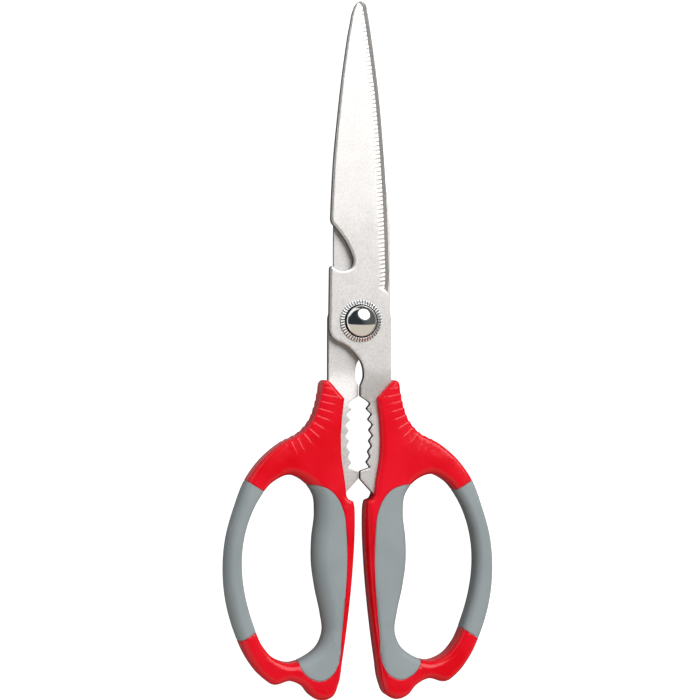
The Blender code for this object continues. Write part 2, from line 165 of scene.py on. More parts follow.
class Tree:
    """Shorthand for building a node tree."""

    def __init__(self, tree):
        self.tree = tree
        tree.nodes.clear()

    def add(self, kind, settings=None, **inputs):
        node = self.tree.nodes.new(kind)
        for key, value in (settings or {}).items():
            setattr(node, key, value)
        for key, value in inputs.items():
            socket = node.inputs[key if not key[1:].isdigit() else int(key[1:])]
            if isinstance(value, bpy.types.NodeSocket):
                self.tree.links.new(value, socket)
            else:
                socket.default_value = value
        return node

    def math(self, operation, a, b=0.0, clamp=False):
        settings = {"operation": operation, "use_clamp": clamp}
        return self.add("ShaderNodeMath", settings, _0=a, _1=b).outputs[0]

    def ramp(self, value, low, high, start=0.0, end=1.0):
        """Smooth step of a value from low to high, onto start to end."""
        settings = {"interpolation_type": "SMOOTHSTEP"}
        node = self.add("ShaderNodeMapRange", settings, _0=value, _1=low, _2=high, _3=start, _4=end)
        return node.outputs[0]

    def mix(self, factor, a, b):
        """Blends two colours."""
        node = self.add("ShaderNodeMix", {"data_type": "RGBA"}, _0=factor, _6=a, _7=b)
        return node.outputs[2]

    def noise(self, vector, scale, detail=2.0, rough=0.5):
        node = self.add("ShaderNodeTexNoise", Vector=vector, Scale=scale, Detail=detail)
        node.inputs["Roughness"].default_value = rough
        return node.outputs["Fac"]


def add_world():
    """A dark room: warm toward the handles, a low band on the left, a strip behind the tips."""
    world = bpy.data.worlds.new("studio")
    world.use_nodes = True
    t = Tree(world.node_tree)
    toward = t.add("ShaderNodeTexCoord").outputs["Generated"]
    axes = t.add("ShaderNodeSeparateXYZ", Vector=toward).outputs
    lift = t.math("SQRT", t.math("MULTIPLY_ADD", axes["Z"], 2.0))
    lift.node.inputs[2].default_value = 2.0
    lean = t.math("DIVIDE", axes["Y"], t.math("MAXIMUM", lift, 0.05))
    room = t.mix(t.ramp(axes["X"], -0.1, 0.75), DARK_ROOM, PALER_ROOM)
    key = t.add("ShaderNodeVectorMath", {"operation": "DOT_PRODUCT"}, _0=toward)
    key.inputs[1].default_value = KEY_TOWARD
    inner, outer = cos(KEY_SPREAD - HALO_OVERLAP), cos(KEY_SPREAD + KEY_HALO)
    room = t.mix(t.ramp(key.outputs["Value"], outer, inner), room, HALO)
    colour = t.mix(t.ramp(lean, *WARM_SLOPE), room, WARM_SIDE)
    leftward = t.math("SUBTRACT", t.math("MULTIPLY", axes["Y"], 0.3), axes["X"])
    low = t.math("MULTIPLY", t.ramp(axes["Z"], *LOW_BAND_LIFT), t.ramp(leftward, 0.4, 0.7))
    colour = t.mix(low, colour, LOW_BAND)
    behind = t.add("ShaderNodeVectorMath", {"operation": "DOT_PRODUCT"}, _0=toward)
    behind.inputs[1].default_value = TIP_STRIP_TOWARD
    ends = t.math("MULTIPLY", t.ramp(axes["Z"], *TIP_STRIP_HIGH), t.ramp(axes["Z"], *TIP_STRIP_LOW))
    strip = t.math("MULTIPLY", ends, t.ramp(behind.outputs["Value"], 0.74, 0.88))
    colour = t.mix(strip, colour, TIP_STRIP)
    seen = t.add("ShaderNodeLightPath").outputs["Is Camera Ray"]
    colour = t.mix(seen, colour, WHITE)
    shade = t.add("ShaderNodeBackground", Color=colour)
    t.add("ShaderNodeOutputWorld", Surface=shade.outputs[0])
    bpy.context.scene.world = world


def add_floor():
    """A plain floor that the camera sees as white, as the cut-out photo's ground is."""
    half = FLOOR_SIZE / 2
    mesh = bpy.data.meshes.new("floor")
    corners = [(-half, -half, 0), (half, -half, 0), (half, half, 0), (-half, half, 0)]
    mesh.from_pydata(corners, [], [(0, 1, 2, 3)])
    floor = bpy.data.objects.new("floor", mesh)
    floor.location.z = -FLOOR_DROP
    bpy.context.scene.collection.objects.link(floor)
    surface = bpy.data.materials.new("floor")
    surface.use_nodes = True
    shader = surface.node_tree.nodes["Principled BSDF"]
    shader.inputs["Base Color"].default_value = (FLOOR_GREY, FLOOR_GREY, FLOOR_GREY, 1.0)
    shader.inputs["Roughness"].default_value = 0.8
    shader.inputs["Emission Color"].default_value = WHITE
    seen = surface.node_tree.nodes.new("ShaderNodeLightPath").outputs["Is Camera Ray"]
    glow = surface.node_tree.nodes.new("ShaderNodeMath")
    glow.operation = "MULTIPLY"
    glow.inputs[1].default_value = FLOOR_GLOW
    surface.node_tree.links.new(seen, glow.inputs[0])
    surface.node_tree.links.new(glow.outputs[0], shader.inputs["Emission Strength"])
    mesh.materials.append(surface)


bpy.context.scene.view_settings.view_transform = "Standard"
add_camera()
add_lights()
add_world()
add_floor()

# ---------------------------------------------------------------- outlines

PLATE_FACE = 3.1
PLATE_LOW = 0.15
JOGGLE_DROP = 0.75
JOGGLE_START = -14.2
JOGGLE_END = -29.0
TAPER_START = 30.0
TAPER_END = 98.0
TAPER_SHARE = 0.27
FRONT_FLANK = 9.65
REAR_FLANK = 9.4
CONTACT_HALF = 0.15
BORE_R = 3.05
LOCK_HOLE_R = 1.8
LOCK_HOLES = ((10.6, -36.6), (13.9, -40.9))

JAW_TEETH = 6
JAW_TOP = -23.1
JAW_FIRST_TIP = -27.0
JAW_PITCH = 3.28
JAW_TIP_X = 2.1
JAW_BOW = 0.85
JAW_DEPTH = 1.3
JAW_BOTTOM = -46.1
STOP_BOTTOM = -48.5

HANDLE_HALF = 5.5
CROWN = 0.8
CROWN_REACH = 6.0
CORE_INSET = 1.35
CORE_HALF = 2.9
SEAM_GAP = 0.05
FAR_SPOT = 400.0
ROW_KEPT = 0.93

# Radii of the broken edges on the steel.
SPINE_ROUND = 0.55
WAIST_ROUND = 0.3
CUT_ROUND = 0.12

# Each knot is x, y and the radius of its rounded edge.  A blade's cutting edge has radius 0.
FRONT_EDGE = [
    (8.85, 5.0), (8.85, 8.2), (9.2, 10.8), (9.15, 20.0), (8.85, 30.0), (8.2, 43.0), (7.3, 55.5),
    (6.2, 67.8), (4.7, 80.1), (3.25, 90.2), (2.3, 95.8), (1.75, 98.0), (0.8, 98.7),
]
FRONT_SPINE = [
    (0.8, 98.7), (-0.6, 98.3), (-2.0, 96.2), (-3.35, 90.6), (-5.0, 80.1), (-7.15, 61.7),
    (-8.3, 49.4), (-8.9, 38.5), (-9.2, 31.2),
]
NOTCH = [
    (-8.9, 30.0), (-7.4, 28.3), (-5.0, 25.2), (-3.1, 21.7), (-2.1, 18.4), (-2.6, 16.6),
    (-4.6, 15.6), (-7.2, 15.8), (-8.8, 17.0),
]
FRONT_SHOULDER = [(-9.5, 16.4), (-9.6, 6.0), (-9.7, -2.4)]
REAR_EDGE = [
    (8.3, 5.0), (8.1, 8.5), (8.0, 10.8), (7.95, 22.0), (7.9, 34.0), (7.8, 43.0), (6.9, 55.5),
    (5.8, 67.8), (4.5, 80.1), (3.1, 90.2), (2.0, 95.8), (1.2, 97.6), (0.2, 98.2),
]
REAR_SPINE = [
    (0.2, 98.2), (-1.2, 97.8), (-2.0, 95.8), (-3.0, 90.2), (-4.4, 80.1), (-5.8, 67.8),
    (-7.0, 55.5), (-8.1, 44.5), (-9.0, 37.5), (-9.75, 28.5), (-9.9, 20.0), (-9.9, 6.0),
    (-9.8, -2.4),
]
WAIST = [(-9.5, -3.4), (-8.6, -5.1), (-7.2, -6.1), (-5.3, -6.9), (-3.1, -8.4), (-0.3, -11.5)]
LENS = [(-0.3, -11.5), (0.5, -13.0), (1.1, -15.4), (0.95, -18.0), (CONTACT_HALF, -19.8)]
TANG_FOOT = [
    (4.9, -53.4), (8.4, -50.4), (11.4, -46.3), (15.6, -45.0), (17.6, -42.6), (16.4, -39.4),
    (12.9, -35.6), (10.6, -30.5),
]
HANDLE_SIDE = [
    (9.3, -18.9, 1.0), (10.6, -18.1, 0.9), (11.7, -18.6, 0.9), (12.3, -20.8, 0.9),
    (13.4, -25.9, 0.9), (15.0, -30.2, 0.9), (18.2, -34.0, 1.0), (23.7, -37.0, 1.4),
    (29.3, -41.4, 1.9), (34.7, -48.3, 2.5), (38.2, -57.0, 3.2), (40.9, -67.0, 3.3),
    (41.6, -75.5, 3.3), (40.9, -84.8, 3.3), (38.2, -95.0, 3.0), (34.0, -104.0, 2.5),
    (30.6, -108.3, 2.2), (26.8, -111.0, 2.2), (21.5, -110.0, 2.2), (17.4, -112.0, 2.2),
    (14.8, -115.0, 2.3), (11.5, -116.2, 2.3), (8.4, -114.8, 2.2), (6.9, -111.5, 2.4),
    (5.5, -103.5, 2.8), (3.7, -90.0, 3.0), (2.3, -75.0, 3.0), (1.75, -62.0, 2.8),
    (1.9, -56.6, 1.6),
]
LEDGE = [(2.3, -55.2, 0.8), (3.9, -54.6, 0.8)]
HANDLE_INSIDE = [
    (4.4, -53.4, 1.2), (4.9, -48.8, 1.7), (5.9, -42.6, 1.9), (6.2, -36.6, 1.9),
    (5.8, -29.5, 1.7), (5.1, -23.7, 1.2),
]
FINGER_HOLE = [
    (22.3, -47.1, 2.4), (17.0, -49.3, 3.2), (14.0, -53.4, 4.4), (13.4, -59.0, 4.8),
    (14.2, -66.5, 4.8), (14.3, -74.0, 4.8), (13.2, -82.0, 4.8), (11.5, -90.0, 4.8),
    (10.9, -95.2, 4.6), (12.4, -99.4, 4.0), (16.4, -102.8, 3.0), (21.8, -104.6, 2.4),
    (27.0, -102.7, 2.2), (30.3, -99.0, 2.2), (33.2, -92.2, 2.2), (35.5, -84.3, 2.2),
    (36.6, -76.5, 2.2), (36.4, -69.0, 2.2), (34.7, -61.4, 2.2), (31.7, -54.8, 2.2),
    (27.3, -49.3, 2.2),
]
BOW_SLEEVE = [
    (27.5, -53.6), (33.1, -50.1), (39.0, -46.4), (47.0, -60.0), (47.0, -95.0), (42.0, -99.6),
    (36.0, -97.2), (30.0, -93.2), (26.0, -75.0),
]
PALM_EDGE = [
    (18.0, -51.6), (16.4, -50.4), (12.6, -50.5), (9.4, -51.9), (6.9, -54.8), (5.3, -58.6),
    (4.5, -65.0), (4.3, -74.0), (4.8, -84.0), (6.0, -97.0), (6.9, -105.0), (8.7, -108.2),
    (12.6, -110.0), (16.4, -108.5), (18.8, -105.2), (18.9, -100.0),
]
PALM_BACK = [(22.0, -92.0), (22.0, -60.0)]


def with_mark(points, mark):
    return [(point[0], point[1], mark) for point in points]


def smooth_curve(knots, step, closed=False):
    """Smooth curve through knots, with a point about every step."""
    points = [np.array(knot, float) for knot in knots]
    count = len(points)
    gaps = [np.linalg.norm((points[(i + 1) % count] - points[i])[:2]) for i in range(count)]
    gaps = [max(gap, 1e-6) for gap in gaps]
    slopes = []
    for i in range(count):
        before = (points[i] - points[i - 1]) / gaps[i - 1]
        after = (points[(i + 1) % count] - points[i]) / gaps[i]
        if not closed and i == 0:
            slopes.append(after)
        elif not closed and i == count - 1:
            slopes.append(before)
        else:
            slopes.append((before * gaps[i] + after * gaps[i - 1]) / (gaps[i] + gaps[i - 1]))
    curve = []
    for i in range(count if closed else count - 1):
        j = (i + 1) % count
        parts = max(1, ceil(gaps[i] / step))
        for k in range(parts):
            t = k / parts
            a = points[i] * (2 * t**3 - 3 * t**2 + 1) + points[j] * (3 * t**2 - 2 * t**3)
            b = slopes[i] * (t**3 - 2 * t**2 + t) + slopes[j] * (t**3 - t**2)
            curve.append(a + b * gaps[i])
    if not closed:
        curve.append(points[-1])
    return curve


def even_loop(runs, step, rounding):
    """One closed loop from runs of points, spaced evenly, with its corners eased."""
    points = []
    for run in runs:
        for point in run:
            point = np.array(point, float)
            if not points or np.linalg.norm((point - points[-1])[:2]) > 1e-3:
                points.append(point)
    if np.linalg.norm((points[0] - points[-1])[:2]) < 1e-3:
        points.pop()
    ring = np.array(points + points[:1])
    lengths = np.linalg.norm(np.diff(ring[:, :2], axis=0), axis=1)
    travel = np.concatenate([[0.0], np.cumsum(lengths)])
    stops = np.linspace(0.0, travel[-1], int(travel[-1] / step), endpoint=False)
    loop = np.stack([np.interp(stops, travel, ring[:, k]) for k in range(3)], axis=1)
    for _ in range(rounding):
        loop = loop / 2 + (np.roll(loop, 1, axis=0) + np.roll(loop, -1, axis=0)) / 4
    return loop


def thinned(loop, wide, fine_here):
    """Drops points where the loop needs no fine spacing."""
    kept = [loop[0]]
    for point in loop[1:]:
        if fine_here(point[0], point[1]) or np.linalg.norm((point - kept[-1])[:2]) >= wide:
            kept.append(point)
    return np.array(kept)


def circle(radius, count, mark, x=0.0, y=0.0):
    """A hole's outline, going round with the material on its left."""
    turns = np.arange(count) * 2 * pi / count
    columns = [x + radius * np.cos(turns), y - radius * np.sin(turns), np.full(count, mark)]
    return np.stack(columns, axis=1)


def rim_of(loops):
    """The outlines of a plan, with each point's neighbours and its step into the material."""
    before, after, along = [], [], []
    for loop in loops:
        first, count = len(before), len(loop)
        lengths = np.linalg.norm((np.roll(loop, -1, axis=0) - loop)[:, :2], axis=1)
        before += [first + (i - 1) % count for i in range(count)]
        after += [first + (i + 1) % count for i in range(count)]
        along += list(np.concatenate([[0.0], np.cumsum(lengths)[:-1]]))
    xy = np.concatenate([loop[:, :2] for loop in loops])
    mark = np.concatenate([loop[:, 2] for loop in loops])
    run = xy[after] - xy[before]
    run /= np.linalg.norm(run, axis=1)[:, None]
    inward = np.stack([-run[:, 1], run[:, 0]], axis=1)
    tree = KDTree(len(xy))
    for number, (x, y) in enumerate(xy):
        tree.insert((x, y, 0.0), number)
    tree.balance()
    ends = (np.array(before), np.array(after), np.array(along))
    return SimpleNamespace(xy=xy, mark=mark, inward=inward, tree=tree, ends=ends, loops=loops)


def beside(rim, spots):
    """For each spot: its depth from the outline, and the mark, travel and step in of the place."""
    before, after, along = rim.ends
    near = np.array([rim.tree.find((x, y, 0.0))[1] for x, y in spots])
    best = None
    for a, b in ((before[near], near), (near, after[near])):
        run = rim.xy[b] - rim.xy[a]
        length = np.linalg.norm(run, axis=1)
        share = np.clip(((spots - rim.xy[a]) * run).sum(axis=1) / length**2, 0.0, 1.0)
        depth = np.linalg.norm(spots - rim.xy[a] - run * share[:, None], axis=1)
        mark = rim.mark[a] * (1 - share) + rim.mark[b] * share
        found = np.column_stack([depth, mark, along[a] + share * length, rim.inward[near]])
        best = found if best is None else np.where((depth < best[:, 0])[:, None], found, best)
    return best[:, 0], best[:, 1], best[:, 2], best[:, 3:]


def inside(rim, spots):
    """Whether each spot lies on the material, by counting crossings."""
    after = rim.ends[1]
    x1, y1 = rim.xy.T
    x2, y2 = rim.xy[after].T
    rise = np.where(np.abs(y2 - y1) < 1e-12, 1e-12, y2 - y1)
    found = []
    for x, y in spots:
        over = (y1 > y) != (y2 > y)
        found.append(np.count_nonzero(over & (x < (x2 - x1) * (y - y1) / rise + x1)) % 2 == 1)
    return np.array(found)


def triangulated(rim, spots):
    """Triangles on the material between spots, the first of which are the outlines' own points."""
    edges = [(i, int(j)) for i, j in enumerate(rim.ends[1])]
    far = [(x * FAR_SPOT, y * FAR_SPOT) for x, y in ((-1, -1), (1, -1), (1, 1), (-1, 1))]
    spots = np.concatenate([spots, far])
    laid = delaunay_2d_cdt([Vector(spot) for spot in spots], edges, [], 0, 1e-7, True)
    source = [origin[0] for origin in laid[3]]
    triangles = np.array([[source[k] for k in face] for face in laid[2]])
    following = np.full(len(spots), -1)
    following[: len(rim.xy)] = rim.ends[1]
    on_material = inside(rim, spots[triangles].mean(axis=1))
    for a, b in ((0, 1), (1, 2), (2, 0)):
        p, q = triangles[:, a], triangles[:, b]
        on_material = np.where(following[p] == q, True, on_material)
        on_material = np.where(following[q] == p, False, on_material)
    return triangles[on_material]


def plan_of(loops, rows_at, spots):
    """Triangles over flat loops: rows of points follow the outlines, and loose spots fill in."""
    rim = rim_of(loops)
    behind, wanted = [], []
    for point, mark, step in zip(rim.xy, rim.mark, rim.inward):
        for depth in rows_at(point[0], point[1], mark):
            behind.append(point + step * depth)
            wanted.append(depth)
    behind = np.array(behind)
    kept = beside(rim, behind)[0] > ROW_KEPT * np.array(wanted)
    extra = np.array(spots, float).reshape(-1, 2)
    inner = np.concatenate([behind[kept], extra]) if len(extra) else behind[kept]
    everything = np.concatenate([rim.xy, inner[inside(rim, inner)]])
    triangles = triangulated(rim, everything)
    depth, mark, along, inward = beside(rim, everything)
    depth[: len(rim.xy)] = 0.0
    inward[: len(rim.xy)] = rim.inward
    mark[: len(rim.xy)] = rim.mark
    return SimpleNamespace(
        rim=rim, xy=everything, triangles=triangles, depth=depth, mark=mark, along=along,
        inward=inward,
    )


def grid(x_from, x_to, y_from, y_to, dx, dy):
    """Staggered spots over a box."""
    spots = []
    for row, y in enumerate(np.arange(y_from, y_to, dy)):
        shift = dx / 2 if row % 2 else 0.0
        spots += [(x + shift, y) for x in np.arange(x_from, x_to, dx)]
    return spots


def clear_of(plan_rim, spots, depth):
    """The spots that lie on the material and deeper than a distance."""
    spots = np.array(spots)
    spots = spots[inside(plan_rim, spots)]
    return spots[beside(plan_rim, spots)[0] > depth]


def slab(plan, top, bottom, moved=None, wall_rows=1):
    """A closed solid between two heights over a plan: its points, and its faces."""
    xy = plan.xy if moved is None else plan.xy + moved
    count = len(xy)
    points = [np.column_stack([xy, top]), np.column_stack([xy, bottom])]
    faces = [tuple(t) for t in plan.triangles]
    faces += [tuple(count + k for k in t[::-1]) for t in plan.triangles]
    edge = len(plan.rim.xy)
    levels = [np.arange(edge) + count]
    for row in range(1, wall_rows):
        share = row / wall_rows
        height = bottom[:edge] * (1 - share) + top[:edge] * share
        levels.append(np.arange(edge) + 2 * count + (row - 1) * edge)
        points.append(np.column_stack([xy[:edge], height]))
    levels.append(np.arange(edge))
    after = plan.rim.ends[1]
    for low, high in zip(levels, levels[1:]):
        faces += list(zip(low, low[after], high[after], high))
    return np.concatenate(points), faces


def turned(profile, segments, shape=None):
    """A solid of revolution from a closed (radius, z) profile, which shape may change round it."""
    points, faces = [], []
    count = len(profile)
    for k in range(segments):
        a = 2 * pi * k / segments
        for number, (radius, z) in enumerate(profile):
            if shape:
                radius, z = shape(number, a, radius, z)
            points.append((radius * cos(a), radius * sin(a), z))
        after = (k + 1) % segments
        for i in range(count):
            j = (i + 1) % count
            ring = (k * count + i, after * count + i, after * count + j, k * count + j)
            faces.append(ring)
    return np.array(points), faces


def make_object(name, points, faces, material=None, crease=40.0):
    """An object from points in millimetres about the pivot."""
    mesh = bpy.data.meshes.new(name)
    placed = np.array(points) * MM + np.array(PIVOT)
    mesh.from_pydata(placed.tolist(), [], [tuple(int(k) for k in face) for face in faces])
    mesh.validate()
    obj = bpy.data.objects.new(name, mesh)
    bpy.context.scene.collection.objects.link(obj)
    if material:
        mesh.materials.append(material)
        mesh.shade_smooth()
        mesh.set_sharp_from_angle(angle=radians(crease))
    return obj


def cleaned(obj, crease):
    """Merges points that meet, drops what has no area, and turns the faces out."""
    bm = bmesh.new()
    bm.from_mesh(obj.data)
    bmesh.ops.remove_doubles(bm, verts=bm.verts[:], dist=1e-7)
    bmesh.ops.dissolve_degenerate(bm, edges=bm.edges[:], dist=1e-7)
    bmesh.ops.recalc_face_normals(bm, faces=bm.faces[:])
    bm.to_mesh(obj.data)
    bm.free()
    obj.data.shade_smooth()
    obj.data.set_sharp_from_angle(angle=radians(crease))
    return obj


# ---------------------------------------------------------------- materials


def surface_of(name, build):
    """A material whose node tree is built by a function that returns the shader's settings."""
    material = bpy.data.materials.new(name)
    material.use_nodes = True
    t = Tree(material.node_tree)
    shader = t.add("ShaderNodeBsdfPrincipled")
    t.add("ShaderNodeOutputMaterial", Surface=shader.outputs[0])
    place = t.add("ShaderNodeTexCoord").outputs["Object"]
    for key, value in build(t, place).items():
        if isinstance(value, bpy.types.NodeSocket):
            t.tree.links.new(value, shader.inputs[key])
        else:
            shader.inputs[key].default_value = value
    return material


def bumps(t, *layers):
    """Stacks bump nodes: each layer is a height and how tall it is in metres."""
    normal = None
    for height, tall in layers:
        node = t.add("ShaderNodeBump", Height=height, Strength=1.0, Distance=tall)
        if normal is not None:
            t.tree.links.new(normal, node.inputs["Normal"])
        normal = node.outputs[0]
    return normal


def stretched(t, place, x, y, z):
    """Texture coordinates squeezed along each axis."""
    node = t.add("ShaderNodeVectorMath", {"operation": "MULTIPLY"}, _0=place, _1=(x, y, z))
    return node.outputs[0]


def flatness(t):
    """1 on faces that look up or down, 0 on upright walls."""
    normal = t.add("ShaderNodeNewGeometry").outputs["Normal"]
    z = t.add("ShaderNodeSeparateXYZ", Vector=normal).outputs["Z"]
    return t.ramp(t.math("ABSOLUTE", z), 0.1, 0.45)


def blade_steel(t, place):
    """Bead-blasted stainless plate: even speckle on the faces, drawn lines on the sheared walls,
    which also get a dark base colour as painted shade.
    """
    flat = flatness(t)
    speckle = t.noise(place, 1900.0, 3.0, 0.65)
    cloud = t.noise(place, 190.0, 3.0)
    tone = t.ramp(speckle, 0.25, 0.75, -0.11, 0.11)
    tone = t.math("ADD", tone, t.ramp(cloud, 0.3, 0.7, 0.97, 1.02))
    face = t.add("ShaderNodeVectorMath", {"operation": "SCALE"}, _0=(0.69, 0.672, 0.657))
    t.tree.links.new(tone, face.inputs["Scale"])
    # Painted shade: upright walls get a dark base colour (0.2), on top of their real rougher drawn
    # finish set below.
    colour = t.mix(flat, (0.2, 0.19, 0.18, 1.0), face.outputs[0])
    drawn = t.noise(stretched(t, place, 1.0, 1.0, 0.12), 5200.0, 2.0)
    wall_rough = t.ramp(drawn, 0.3, 0.7, 0.36, 0.52)
    face_rough = t.ramp(speckle, 0.3, 0.7, 0.42, 0.48)
    blend = t.add("ShaderNodeMix", {"data_type": "FLOAT"}, _0=flat, _2=wall_rough, _3=face_rough)
    wall_height = t.math("MULTIPLY", drawn, t.math("SUBTRACT", 1.0, flat))
    normal = bumps(t, (speckle, 0.000011), (wall_height, 0.00004))
    return {"Base Color": colour, "Metallic": 1.0, "Roughness": blend.outputs[0], "Normal": normal}


def bolt_steel(t, place):
    """Mirror-polished head with hairline scratches."""
    hair = t.noise(stretched(t, place, 1.0, 0.06, 1.0), 9000.0, 1.0)
    scratch = t.ramp(hair, 0.68, 0.8)
    cloud = t.noise(place, 900.0, 2.0)
    rough = t.math("ADD", t.ramp(cloud, 0.3, 0.7, 0.05, 0.09), t.math("MULTIPLY", scratch, 0.1))
    normal = bumps(t, (scratch, 0.000001))
    base = (0.74, 0.73, 0.71, 1.0)
    return {"Base Color": base, "Metallic": 1.0, "Roughness": rough, "Normal": normal}


def ring_steel(t, place):
    """Turned and knurled steel: fine lathe lines round the axis, with painted shade in the dish
    inside the teeth and in the tooth grooves.
    """
    axes = t.add("ShaderNodeSeparateXYZ", Vector=place).outputs
    centre = t.math("SUBTRACT", axes["Y"], PIVOT.y)
    square = t.math("MULTIPLY", centre, centre)
    square = t.math("ADD", square, t.math("MULTIPLY", axes["X"], axes["X"]))
    radius = t.math("SQRT", square)
    lines = t.math("SINE", t.math("MULTIPLY", radius, 2 * pi / 0.00022))
    cloud = t.noise(place, 2200.0, 2.0)
    rough = t.ramp(cloud, 0.3, 0.7, 0.16, 0.26)
    normal = bumps(t, (lines, 0.0000012), (cloud, 0.000004))
    colour = t.mix(cloud, (0.78, 0.79, 0.8, 1.0), (0.88, 0.88, 0.88, 1.0))
    # Painted shade: a dark bluish base colour inside 5 mm radius, standing in for the shade the
    # dome casts into the dish.
    colour = t.mix(t.ramp(radius, 0.0050, 0.0053), (0.12, 0.14, 0.2, 1.0), colour)
    # Painted shade: the grooves between the teeth get a near-black base colour, standing in for
    # their shadow.
    groove = t.add("ShaderNodeAttribute", {"attribute_name": "groove"}).outputs["Fac"]
    colour = t.mix(t.ramp(groove, 0.18, 0.5), colour, (0.03, 0.035, 0.045, 1.0))
    return {"Base Color": colour, "Metallic": 1.0, "Roughness": rough, "Normal": normal}


PLASTIC_SPECULAR = 0.3
RIB_STEP = 0.14
RIB_BUMP = 0.000065


def rib_height(t):
    """Steps across the neck: a short rise that faces the tips, then a long fall."""
    step = t.add("ShaderNodeAttribute", {"attribute_name": "rib_step"}).outputs["Fac"]
    strength = t.add("ShaderNodeAttribute", {"attribute_name": "rib_strength"}).outputs["Fac"]
    share = t.math("FRACT", step)
    rise = t.math("DIVIDE", share, RIB_STEP)
    fall = t.math("DIVIDE", t.math("SUBTRACT", 1.0, share), 1.0 - RIB_STEP)
    return t.math("MULTIPLY", t.math("MINIMUM", rise, fall), strength)


def moulded(deep, light, rough_from, rough_to, grain):
    """A moulded plastic: eroded-mould grain, slow cloudiness and painted shade in its seam grooves.
    """

    def build(t, place):
        fine = t.noise(place, 4200.0, 3.0, 0.6)
        broad = t.noise(place, 320.0, 2.0)
        cloud = t.noise(place, 70.0, 2.0)
        colour = t.mix(t.ramp(cloud, 0.3, 0.7), (*deep, 1.0), (*light, 1.0))
        groove = t.add("ShaderNodeAttribute", {"attribute_name": "groove"}).outputs["Fac"]
        # Painted shade: in the seam grooves the base colour darkens toward 0.55 of the deep tone.
        painted_seam_shade = tuple(0.55 * part for part in deep)
        colour = t.mix(t.math("MULTIPLY", groove, 0.8), colour, (*painted_seam_shade, 1.0))
        rough = t.ramp(fine, 0.3, 0.7, rough_from, rough_to)
        ribs = rib_height(t)
        normal = bumps(t, (broad, 0.00003), (ribs, RIB_BUMP), (fine, grain))
        return {
            "Base Color": colour, "Roughness": rough, "Normal": normal,
            "Specular IOR Level": PLASTIC_SPECULAR,
        }

    return build


steel = surface_of("blade_steel", blade_steel)
polished = surface_of("bolt_steel", bolt_steel)
knurled = surface_of("ring_steel", ring_steel)
red_build = moulded((0.66, 0.0008, 0.007), (0.74, 0.006, 0.019), 0.15, 0.24, 0.00001)
red = surface_of("handle_red", red_build)
grey_build = moulded((0.25, 0.287, 0.3), (0.275, 0.312, 0.326), 0.52, 0.64, 0.00002)
grey = surface_of("grip_grey", grey_build)


# ---------------------------------------------------------------- blades

EDGE_FROM = 9.4
EDGE_TO = 97.6
HEEL_START = 7.9
HEEL_END = 10.4
TOOTH_PITCH = 1.3
TOOTH_SLANT = 0.22
TOOTH_DEPTH = 0.085
TOOTH_LEAN = 0.7
TOOTH_REACH = 2.1
EDGE_LAND = 0.3
OUTER_BEVEL = (0.45, 0.4)
INNER_BEVEL = (1.25, 2.17)
SHOULDER_SLOPE = 0.05
CUT_ROWS = (
    0.12, 0.3, 0.46, 0.7, 1.0, 1.3, 1.55, 1.69, 1.8,
    1.95, 2.15, 2.4, 2.7, 3.0, 3.3, 3.6, 3.9, 4.2,
)
BLADE_STEP = 0.13
REAR_EDGE_TALL = 1.2
SHARP_ROUND = 0.06
UNDER_ROUND = 0.07


def bent(points):
    """Thins a plate toward the tip and bends its tang toward the mid-plane."""
    y, z = points[:, 1], points[:, 2]
    bend = np.clip((y - JOGGLE_START) / (JOGGLE_END - JOGGLE_START), 0.0, 1.0)
    thin = np.maximum(0.0, (y - TAPER_START) / (TAPER_END - TAPER_START))
    z = z - (z - PLATE_LOW) * TAPER_SHARE * thin
    z = z - JOGGLE_DROP * bend * bend * (3 - 2 * bend)
    return np.column_stack([points[:, 0], y, z])


def jaw_run():
    """Inner edge of a plate from the stop below the lens down past the teeth."""
    run = [(CONTACT_HALF, -19.8), (CONTACT_HALF, JAW_TOP), (2.0, -24.2)]
    for tooth in range(JAW_TEETH):
        y = JAW_FIRST_TIP - tooth * JAW_PITCH
        tip = JAW_TIP_X + JAW_BOW * sin(pi * tooth / (JAW_TEETH - 1))
        run += [(tip + JAW_DEPTH, y + JAW_PITCH / 2), (tip, y)]
    run += [(JAW_TIP_X + JAW_DEPTH, y - JAW_PITCH / 2), (CONTACT_HALF, JAW_BOTTOM)]
    return run + [(CONTACT_HALF, STOP_BOTTOM), (4.5, -53.3)]


def tang_run(flank):
    """Outer edge of a plate, from the foot of the tang up its flank to the heel."""
    foot = smooth_curve(TANG_FOOT + [(flank + 0.05, -24.0), (flank, -18.0)], 0.6)
    return foot + [(flank, 1.0)]


def plate_loops(flank, edge, spine_runs):
    runs = [with_mark(tang_run(flank), CUT_ROUND), with_mark(smooth_curve(edge, 0.5), 0.0)]
    runs += [with_mark(smooth_curve(run, 0.4), SPINE_ROUND) for run in spine_runs]
    runs += [with_mark(smooth_curve(WAIST, 0.4), WAIST_ROUND)]
    runs += [with_mark(smooth_curve(LENS, 0.4), CUT_ROUND), with_mark(jaw_run(), CUT_ROUND)]
    outline = even_loop(runs, BLADE_STEP, 12)

    def fine_here(x, y):
        cutting = x > 0 and y > HEEL_START - 1.0
        jaws = x < 5.0 and y < -22.0
        notch = x < 0 and 14.0 < y < 33.0 and len(spine_runs) > 1
        return cutting or jaws or notch

    outline = thinned(outline, 0.5, fine_here)
    holes = [circle(BORE_R, 72, CUT_ROUND)]
    holes += [circle(LOCK_HOLE_R, 24, CUT_ROUND, x, y) for x, y in LOCK_HOLES]
    return [outline] + holes


